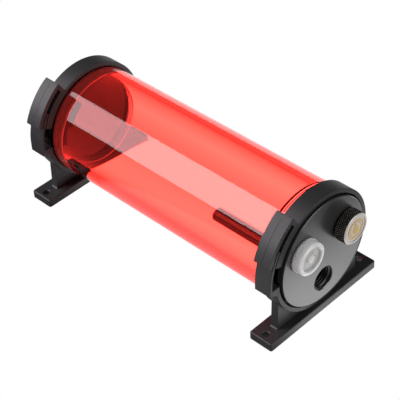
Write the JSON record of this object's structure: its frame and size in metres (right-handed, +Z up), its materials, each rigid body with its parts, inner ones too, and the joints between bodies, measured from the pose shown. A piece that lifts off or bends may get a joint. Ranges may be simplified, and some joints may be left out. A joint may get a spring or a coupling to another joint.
{
  "type": "water cooling reservoir",
  "caption": "Clear cylindrical coolant reservoir lying in footed ratchet clamps, with a ported end cap, a knurled fill plug, a transport plug and an inner standpipe.",
  "frame": {"origin": "centre of the four foot holes, on the plane that the feet rest on", "axes": "+X along the tube towards the port cap, +Y to the side away from the ratchet jaws, +Z up"},
  "size_m": [0.1789, 0.078, 0.0703],
  "materials": {
    "red_acrylic": "clear polished red acrylic",
    "black_acetal": "turned black acetal, satin",
    "black_nylon": "moulded black nylon, semi matt",
    "black_pipe": "polished black tube",
    "seal_rubber": "black nitrile rubber",
    "plug_metal": "black anodised, with a light machined face",
    "frosted_plastic": "frosted translucent polypropylene"
  },
  "bodies": {
    "housing": {"reservoir_tube": "red_acrylic", "port_cap": "black_acetal", "rear_cap": "black_acetal", "port_cap_inner_seal": "seal_rubber", "port_cap_outer_seal": "seal_rubber", "rear_cap_inner_seal": "seal_rubber", "rear_cap_outer_seal": "seal_rubber", "front_clamp": "black_nylon", "rear_clamp": "black_nylon", "standpipe": "black_pipe"},
    "fill_plug_seal_body": {"fill_plug_seal": "seal_rubber"},
    "fill_plug_body": {"fill_plug": "plug_metal"},
    "transport_plug_seal_body": {"transport_plug_seal": "seal_rubber"},
    "transport_plug_body": {"transport_plug": "frosted_plastic"}
  },
  "joints": [
    {"name": "fill_plug_rise", "type": "slide", "parent": "housing", "child": "fill_plug_seal_body", "axis": [1, 0, 0], "range_m": [0, 0.00537]},
    {"name": "fill_plug_turn", "type": "hinge", "parent": "fill_plug_seal_body", "child": "fill_plug_body", "pos_m": [0.0854, 0.01472, 0.045], "axis": [1, 0, 0], "range_deg": [0, 1440]},
    {"name": "transport_plug_rise", "type": "slide", "parent": "housing", "child": "transport_plug_seal_body", "axis": [1, 0, 0], "range_m": [0, 0.00537]},
    {"name": "transport_plug_turn", "type": "hinge", "parent": "transport_plug_seal_body", "child": "transport_plug_body", "pos_m": [0.0854, -0.01472, 0.045], "axis": [1, 0, 0], "range_deg": [0, 1440]}
  ],
  "couplings": [
    {"joint": "fill_plug_rise", "follows": "fill_plug_turn", "m_per_rad": 0.00021279},
    {"joint": "transport_plug_rise", "follows": "transport_plug_turn", "m_per_rad": 0.00021279}
  ]
}
